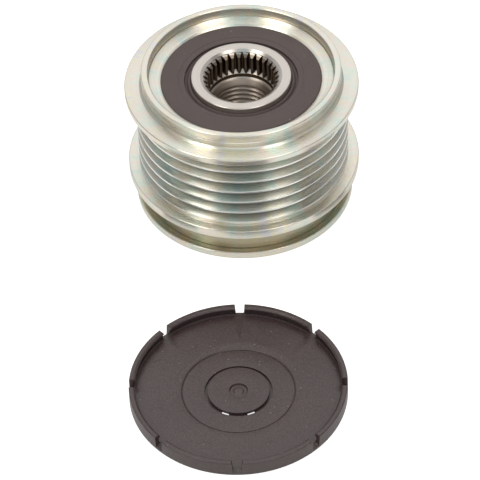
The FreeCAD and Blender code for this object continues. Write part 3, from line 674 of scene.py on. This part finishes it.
def sealOutline(s, face, inward):
    def at(radius, depth, rounding=0):
        return radius, face + depth * inward, rounding

    return roundedOutline([
        at(s["seat"], s["faceWidth"]),
        at(s["seat"], s["faceEdge"], 0.05),
        at(s["seat"] - s["faceEdge"], 0, 0.12),
        at(s["step"], 0, 0.05),
        at(s["step"], s["stepDepth"], 0.05),
        at(s["bore"], s["stepDepth"], 0.08),
        at(s["bore"], s["grooveDepth"], 0.15),
        at(s["dustLip"], s["grooveDepth"], 0.15),
        at(s["dustLip"], s["dustLipDrop"], 0.12),
        at(s["lip"] + s["dustLipEdge"], s["dustLipDrop"], 0.1),
        at(s["lip"], s["dustLipDrop"] + s["dustLipEdge"]),
        at(s["lip"], s["dustLipDrop"] + s["dustLipEdge"] + s["dustLipLand"]),
        at(s["lip"] + s["valley"], s["lipStart"] - s["valley"], 0.1),
        at(s["lip"], s["lipStart"]),
        at(s["lip"], s["lipEnd"]),
        at(s["bore"], s["webBack"]),
        at(s["web"], s["webBack"]),
        at(s["web"], s["faceWidth"]),
    ])


for name, face, inward in (("front", ring["floor"], -1), ("rear", ring["rearRecess"], 1)):
    builtPiece(f"{name}SealFace", latheTree, {
        "Outline": outlineObject(f"{name}SealOutline", sealOutline(seal, face, inward)),
        "Segments": seal["segments"], "Finish": sealRubber}, "pulley", f"{name}_seal_lip")


# Hub: turned blank, serrations and thread

hub = {
    "segments": 224, "radius": 13.03, "front": 38.37, "edge": 0.25, "mouth": 10.7, "root": 9.89,
    "crest": 8.8, "coneAngle": 30, "land": 8.75, "socketFloor": 31.45, "landRear": 30.25,
    "entry": 8.05, "entryFront": 30.05, "threadFront": 28.75, "threadLand": 0.35, "threadMajor": 8.0,
    "threadCore": 7.19, "threadPitch": 1.5, "threadBottom": 11.8, "threadAngle": 60,
    "turnSegments": 96, "sink": 0.9, "sinkTurns": 0.6, "pilot": 8.5, "pilotStep": 0.5,
    "pilotDepth": 10.0, "pilotEdge": 0.4, "teeth": 33, "crestShare": 0.37, "rootShare": 0.84,
    "toothDrop": 0.5, "toothFall": 0.95,
}


def hubOutline(h):
    cone = math.tan(math.radians(h["coneAngle"]))
    threadStart = h["threadFront"] - h["threadLand"]
    return roundedOutline([
        (h["pilot"] + h["pilotEdge"], 0),
        (h["radius"] - h["edge"], 0),
        (h["radius"], h["edge"]),
        (h["radius"], h["front"], h["edge"]),
        (h["mouth"], h["front"], 0.15),
        (h["root"], h["front"] - (h["mouth"] - h["root"]) * cone),
        (h["root"], h["socketFloor"] + (h["root"] - h["land"]) * cone),
        (h["land"], h["socketFloor"], 0.05),
        (h["land"], h["landRear"], 0.1),
        (h["entry"], h["entryFront"], 0.1),
        (h["threadCore"], h["threadFront"], 0.05),
        (h["threadCore"], threadStart, 0.05),
        (h["threadMajor"], threadStart - (h["threadMajor"] - h["threadCore"]) * cone),
        (h["threadMajor"], h["pilotDepth"] + h["pilotStep"]),
        (h["pilot"], h["pilotDepth"]),
        (h["pilot"], h["pilotEdge"]),
    ])


def threadOutline(h):
    buried = 0.12
    base = h["threadMajor"] + buried
    crestHalf = h["threadPitch"] / 8
    baseHalf = crestHalf + (base - h["threadCore"]) * math.tan(math.radians(h["threadAngle"] / 2))
    return roundedOutline([
        (base, -baseHalf),
        (base, baseHalf),
        (h["threadCore"], crestHalf, 0.05),
        (h["threadCore"], -crestHalf, 0.05),
    ])


def prismObject(name, section, bottom, top):
    # A prism on a plan section of (x, y) points in millimetres; the ends' heights may depend on the point
    count = len(section)
    low = [(x * mm, y * mm, bottom(x, y) * mm) for x, y in section]
    high = [(x * mm, y * mm, top(x, y) * mm) for x, y in section]
    sides = [(i, (i + 1) % count, (i + 1) % count + count, i + count) for i in range(count)]
    mesh = bpy.data.meshes.new(name)
    mesh.from_pydata(low + high, [], sides + [tuple(range(count))[::-1], tuple(range(count, 2 * count))])
    return bpy.data.objects.new(name, mesh)


def toothObject(h):
    step = 2 * math.pi / h["teeth"]
    crestHalf = h["crest"] * step * h["crestShare"] / 2
    rootHalf = h["root"] * step * h["rootShare"] / 2
    rounding, buried, sunk = 0.07, 0.3, 0.15
    half = [(h["root"] + buried, rootHalf), (h["root"], rootHalf), (h["crest"] + rounding, crestHalf),
            (h["crest"], crestHalf - rounding)]
    section = half + [(x, -y) for x, y in reversed(half)]

    def top(x, y):
        return h["front"] - h["toothDrop"] - (h["root"] - min(x, h["root"])) * h["toothFall"]

    return prismObject("tooth", section, lambda x, y: h["socketFloor"] - sunk, top)


def makeHub():
    builtPiece("hubBlank", latheTree, {
        "Outline": outlineObject("hubOutline", hubOutline(hub)), "Segments": hub["segments"],
        "Finish": hubSteel}, "hub", "hub")

    tree, given = newTree("hubSerrations", [
        ("Tooth", "NodeSocketObject"), ("Teeth", "NodeSocketInt"), ("Finish", "NodeSocketMaterial")])
    halfStep = math.pi / hub["teeth"]
    teeth = around(tree, given.outputs["Tooth"], given.outputs["Teeth"], halfStep)
    endTree(tree, teeth, given.outputs["Finish"])
    builtPiece("hubSerrations", tree, {"Tooth": toothObject(hub), "Teeth": hub["teeth"], "Finish": hubSteel},
               "hub", "hub")

    threadTop = hub["threadFront"] - hub["threadLand"] + hub["threadPitch"] / 4
    turns = (threadTop - hub["threadBottom"]) / hub["threadPitch"]
    tree, given = newTree("hubThread", [
        ("Outline", "NodeSocketObject"), ("Turns", "NodeSocketFloat"), ("Pitch", "NodeSocketFloat"),
        ("Segments", "NodeSocketInt"), ("Finish", "NodeSocketMaterial")])
    helix = swept(tree, given.outputs["Outline"], given.outputs["Segments"], turns=given.outputs["Turns"],
                  lead=given.outputs["Pitch"], sink=hub["sink"] * mm, sinkTurns=hub["sinkTurns"])
    endTree(tree, helix, given.outputs["Finish"])
    builtPiece("hubThread", tree, {
        "Outline": outlineObject("threadOutline", threadOutline(hub)), "Turns": turns,
        "Pitch": hub["threadPitch"] * mm, "Segments": round(turns * hub["turnSegments"]), "Finish": hubSteel},
        "hub", "hub", place=Matrix.Translation((0, 0, hub["threadBottom"] * mm)))


makeHub()


# Protective cap

cap = {
    "segments": 240, "x": -3.4, "y": -76.63, "turn": -2, "radius": 27.4, "height": 4.2, "wall": 1.1,
    "edge": 0.5, "floor": 1.45, "floorEdge": 0.4, "centreFloor": 1.0, "step": 14.1, "stepWidth": 2.2,
    "stepRise": 0.32, "line": 0.14, "bead": 25.8, "beadSlope": 0.45, "beadWidth": 0.3, "button": 7.8,
    "buttonRise": 0.32, "slot": 0.7, "web": 0.35, "gate": 2.35, "gateDepth": 0.6, "notches": 8,
    "notchTop": 2.5, "notchFloor": 2.05, "notchDepth": 3.45, "notchRounding": 0.35,
    "windowAngle": 24.6, "windowLength": 2.0, "windowReach": 0.5, "pin": 2.3, "pinSides": 28,
    "pinPlace": 21.4, "pinDepth": 0.03, "pinTurn": 22.5, "past": 0.6,
}


def capOutline(c):
    inner = c["radius"] - c["wall"]
    beadFront = c["height"] - c["beadSlope"]
    beadRear = beadFront - c["beadWidth"]
    buttonTop = c["centreFloor"] + c["buttonRise"]
    slotOuter = c["button"] + c["slot"]
    return roundedOutline([
        (0, 0),
        (c["radius"], 0, c["edge"]),
        (c["radius"], c["height"], 0.3),
        (inner, c["height"], 0.15),
        (c["bead"], beadFront, 0.1),
        (c["bead"], beadRear, 0.1),
        (inner, beadRear - c["beadSlope"], 0.1),
        (inner, c["floor"], 0.2),
        (inner - c["floorEdge"], c["floor"]),
        (c["step"] + c["stepWidth"] + c["floorEdge"], c["floor"]),
        (c["step"] + c["stepWidth"], c["floor"], 0.3),
        (c["step"] + c["stepRise"], c["centreFloor"] + c["stepRise"], 0.12),
        (c["step"], c["centreFloor"]),
        (c["step"], c["centreFloor"] - c["line"]),
        (c["step"] - c["line"], c["centreFloor"] - c["line"]),
        (c["step"] - c["line"], c["centreFloor"], 0.05),
        (slotOuter, c["centreFloor"], 0.08),
        (slotOuter, c["web"]),
        (c["button"], c["web"]),
        (c["button"], buttonTop, 0.12),
        (c["gate"], buttonTop, 0.1),
        (c["gate"] - c["gateDepth"] / 3, buttonTop - c["gateDepth"], 0.1),
        (c["gate"] - c["gateDepth"] * 1.6, buttonTop - c["gateDepth"], 0.1),
        (c["gate"] - c["gateDepth"] * 2.2, buttonTop - c["gateDepth"] / 2, 0.1),
        (0, buttonTop - c["gateDepth"] / 2),
    ], closed=False)


def notchObject(c):
    # Looks along the radius: (across, height), flared where the rim's corners are rounded. Its floor
    # starts at the cap's floor and falls outwards.
    floor = c["height"] - c["notchDepth"]
    topHalf, floorHalf, rounding = c["notchTop"] / 2, c["notchFloor"] / 2, c["notchRounding"]
    flare, above = topHalf + 2 * rounding, c["height"] + c["past"]
    section = roundedOutline([
        (-floorHalf, floor, 0.15), (floorHalf, floor, 0.15), (topHalf, c["height"], rounding),
        (flare, c["height"]), (flare, above), (-flare, above), (-flare, c["height"]),
        (-topHalf, c["height"], rounding)])[:-1]
    overlap, lift = 0.05, 0.03
    inner, outer = c["bead"] - overlap, c["radius"] + c["past"]
    cutter = prismObject("notch", [(p.x, p.y) for p in section], lambda x, y: inner, lambda x, y: outer)
    cutter.data.transform(Matrix(((0, 0, 1, 0), (1, 0, 0, 0), (0, 1, 0, 0), (0, 0, 0, 1))))
    rise = (c["floor"] - floor + lift) * mm
    for vertex in cutter.data.vertices:
        if vertex.co.x < c["radius"] * mm and vertex.co.z < c["floor"] * mm:
            vertex.co.z += rise
    return cutter


def windowObject(c):
    half, past = c["windowLength"] / 2, 0.2
    inner, outer = c["button"] - c["windowReach"], c["button"] + c["slot"]
    section = [(inner, -half), (outer, -half), (outer, half), (inner, half)]
    return prismObject("window", section, lambda x, y: -past, lambda x, y: c["web"] + past)


def pinMarkObject(c):
    # The faint round mark that an ejector pin leaves in the floor
    turns = [2 * math.pi * step / c["pinSides"] for step in range(c["pinSides"])]
    section = [(c["pinPlace"] + c["pin"] * math.cos(turn), c["pin"] * math.sin(turn)) for turn in turns]
    return prismObject("pinMark", section, lambda x, y: c["floor"] - c["pinDepth"],
                       lambda x, y: c["floor"] + c["past"])


def makeCap():
    tree, given = newTree("protectiveCap", [
        ("Outline", "NodeSocketObject"), ("Notch", "NodeSocketObject"), ("Notches", "NodeSocketInt"),
        ("Pin Mark", "NodeSocketObject"), ("Pin Turn", "NodeSocketFloat"), ("Window", "NodeSocketObject"),
        ("Window Angle", "NodeSocketFloat"), ("Segments", "NodeSocketInt"), ("Finish", "NodeSocketMaterial")])
    count, windowAngle = given.outputs["Notches"], given.outputs["Window Angle"]
    blank = swept(tree, given.outputs["Outline"], given.outputs["Segments"])
    notches = around(tree, given.outputs["Notch"], count)
    firstTurn = calc(tree, "SUBTRACT", -math.pi / 2, windowAngle)
    windows = around(tree, given.outputs["Window"], 2, firstTurn, product(tree, windowAngle, 4.0))
    pinMarks = around(tree, given.outputs["Pin Mark"], count, given.outputs["Pin Turn"])
    cut = addNode(tree, "GeometryNodeMeshBoolean", {"Mesh 1": blank}, operation="DIFFERENCE", solver="EXACT")
    for cutter in (notches, windows, pinMarks):
        tree.links.new(cutter, cut.inputs["Mesh 2"])
    endTree(tree, cut.outputs["Mesh"], given.outputs["Finish"])
    turn = Matrix.Rotation(math.radians(cap["turn"]), 4, "Z")
    place = Matrix.Translation((cap["x"] * mm, cap["y"] * mm, 0)) @ turn
    builtPiece("capShell", tree, {
        "Outline": outlineObject("capOutline", capOutline(cap)), "Notch": notchObject(cap),
        "Notches": cap["notches"], "Pin Mark": pinMarkObject(cap), "Pin Turn": math.radians(cap["pinTurn"]),
        "Window": windowObject(cap), "Window Angle": math.radians(cap["windowAngle"]),
        "Segments": cap["segments"], "Finish": capPlastic},
        "pulley", "protective_cap", place=place)


makeCap()


# Inner pieces keep their CAD shapes and get their own finishes

finishes = {
    hardSteel: [
        "clutch_sleeve", "front_seal_case", "rear_seal_case", "front_support_ring", "rear_support_ring"],
    rollerSteel: ["inner_race", "clutch_rollers", "front_needles", "rear_needles"],
    springSteel: ["clutch_springs"],
    cagePlastic: ["clutch_cage", "front_needle_cage", "rear_needle_cage"],
    washerPlastic: ["front_thrust_washer", "rear_thrust_washer"],
}
for finish, names in finishes.items():
    for name in names:
        nodes[name].data.materials.clear()
        nodes[name].data.materials.append(finish)
print("inner pieces finished")


# Floor, backdrop and lights

plain, warm, cool = (1, 1, 1), (1, 0.96, 0.88), (0.8, 1, 1.04)
studio = {
    "floorSize": 3.0, "floorColor": 0.86, "glowSeen": 0.75, "glowMirrored": 0.22, "world": 0.5,
    "matHeight": 0.3,
}
# Each light's place, the direction of its length, its width, length, brightness and color
lights = {
    "backPanel": ((0.0, 0.8, 0.8), (1, 0, 0), 0.9, 1.3, 0.8, plain),
    "frontPanel": ((0.0, -1.0, 0.9), (1, 0, 0), 0.5, 0.8, 1.3, plain),
    "leftPanel": ((-1.0, -0.25, 0.95), (0, 1, 0), 0.5, 0.7, 1.0, warm),
    "rightPanel": ((1.0, -0.25, 0.95), (0, 1, 0), 0.5, 0.7, 0.9, warm),
    "leftStrip": ((-0.48, -0.165, 1.1), (0.427, 0.904, 0), 0.28, 1.2, 4.0, warm),
    "rightStrip": ((0.33, -0.165, 1.1), (-0.312, 0.95, 0), 0.26, 1.2, 2.8, warm),
}
# Each overhead card's corners, height, brightness and color. Its edges lie along what the ribs mirror.
cards = {
    "overheadCard": ([(-0.62, -0.8), (0.3, -0.8), (0.088, 0.57), (-0.184, 0.57)], 1.5, 0.5, cool),
    "leftCard": ([(-4.0, -1.0), (-1.6, -1.0), (-0.466, 0.4), (-1.45, 0.4)], 1.3, 0.0, plain),
    "rightCard": ([(1.28, -1.0), (2.9, -1.0), (0.85, 0.4), (0.37, 0.4)], 1.3, 0.02, plain),
}
# Each floor mat's azimuths in degrees, distances in millimetres, brightness and color
mats = {
    "frontMat": ((-8.1, 14.3), (15.4, 30.0), 0.4, cool),
    "leftMat": ((-41.0, -22.95), (15.4, 40.0), 0.04, plain),
    "rightMat": ((32.75, 53.65), (15.4, 40.0), 0.04, plain),
}


def stageMaterial():
    material = bpy.data.materials.new("paper")
    material.use_nodes = True
    tree = material.node_tree
    tree.nodes.clear()
    rays = addNode(tree, "ShaderNodeLightPath")
    straight = calc(tree, "MAXIMUM", rays.outputs["Is Camera Ray"], rays.outputs["Is Transmission Ray"])
    seen = product(tree, straight, studio["glowSeen"])
    mirrored = product(tree, rays.outputs["Is Glossy Ray"], studio["glowMirrored"])
    shade = studio["floorColor"]
    paper = addNode(tree, "ShaderNodeBsdfDiffuse", {"Color": (shade, shade, shade, 1)})
    glow = addNode(tree, "ShaderNodeEmission", {"Strength": calc(tree, "ADD", seen, mirrored)})
    both = addNode(tree, "ShaderNodeAddShader", {0: paper.outputs[0], 1: glow.outputs[0]})
    addNode(tree, "ShaderNodeOutputMaterial", {"Surface": both.outputs[0]})
    return material


def makeStage():
    half = studio["floorSize"] / 2
    mesh = bpy.data.meshes.new("floor")
    corners = [(-half, -half, 0), (half, -half, 0), (half, half, 0), (-half, half, 0)]
    mesh.from_pydata(corners, [], [(0, 1, 2, 3)])
    mesh.materials.append(stageMaterial())
    floor = bpy.data.objects.new("floor", mesh)
    bpy.context.scene.collection.objects.link(floor)
    world = bpy.data.worlds.new("studio")
    world.use_nodes = True
    tree = world.node_tree
    tree.nodes.clear()
    rays = addNode(tree, "ShaderNodeLightPath")
    level = mapRange(tree, rays.outputs["Is Camera Ray"], 0, 1, studio["world"], 1)
    sky = addNode(tree, "ShaderNodeBackground", {"Strength": level})
    addNode(tree, "ShaderNodeOutputWorld", {"Surface": sky.outputs[0]})
    bpy.context.scene.world = world


def softLight(name, place, along, width, length, brightness, color):
    # A panel that faces the pulley, its length along a direction. Its brightness is what a mirror shows.
    lamp = bpy.data.lights.new(name, "AREA")
    lamp.shape = "RECTANGLE"
    lamp.size = width
    lamp.size_y = length
    lamp.energy = brightness * math.pi ** 2 / 4 * width * length
    lamp.color = color
    away = Vector(place).normalized()
    across = Vector(along).cross(away).normalized()
    turn = Matrix((across, away.cross(across), away)).transposed().to_4x4()
    holder = bpy.data.objects.new(name, lamp)
    holder.matrix_world = Matrix.Translation(place) @ turn
    bpy.context.scene.collection.objects.link(holder)


def matCorners(azimuths, distances):
    # The floor that the ribs mirror at two azimuths from the front: a ray leaves them at twice its azimuth
    (first, second), (near, far) = azimuths, distances
    corners = []
    for azimuth, distance in ((first, far), (second, far), (second, near), (first, near)):
        turn = math.radians(azimuth)
        x = ring["ribTip"] * math.sin(turn) + distance * math.sin(2 * turn)
        y = -ring["ribTip"] * math.cos(turn) - distance * math.cos(2 * turn)
        corners.append((x * mm, y * mm))
    return corners


def greyCard(name, corners, height, brightness, color):
    # A card overhead or on the floor, seen only in reflections
    mesh = bpy.data.meshes.new(name)
    mesh.from_pydata([(x, y, height) for x, y in corners], [], [(3, 2, 1, 0)])
    material = bpy.data.materials.new(name)
    material.use_nodes = True
    tree = material.node_tree
    tree.nodes.clear()
    grey = addNode(tree, "ShaderNodeEmission", {"Color": (*color, 1), "Strength": brightness})
    addNode(tree, "ShaderNodeOutputMaterial", {"Surface": grey.outputs[0]})
    mesh.materials.append(material)
    card = bpy.data.objects.new(name, mesh)
    card.visible_camera = False
    card.visible_shadow = False
    card.visible_diffuse = False
    bpy.context.scene.collection.objects.link(card)


makeStage()
for name, light in lights.items():
    softLight(name, *light)
for name, card in cards.items():
    greyCard(name, *card)
for name, (azimuths, distances, brightness, color) in mats.items():
    greyCard(name, matCorners(azimuths, distances), studio["matHeight"] * mm, brightness, color)
print("studio lit")
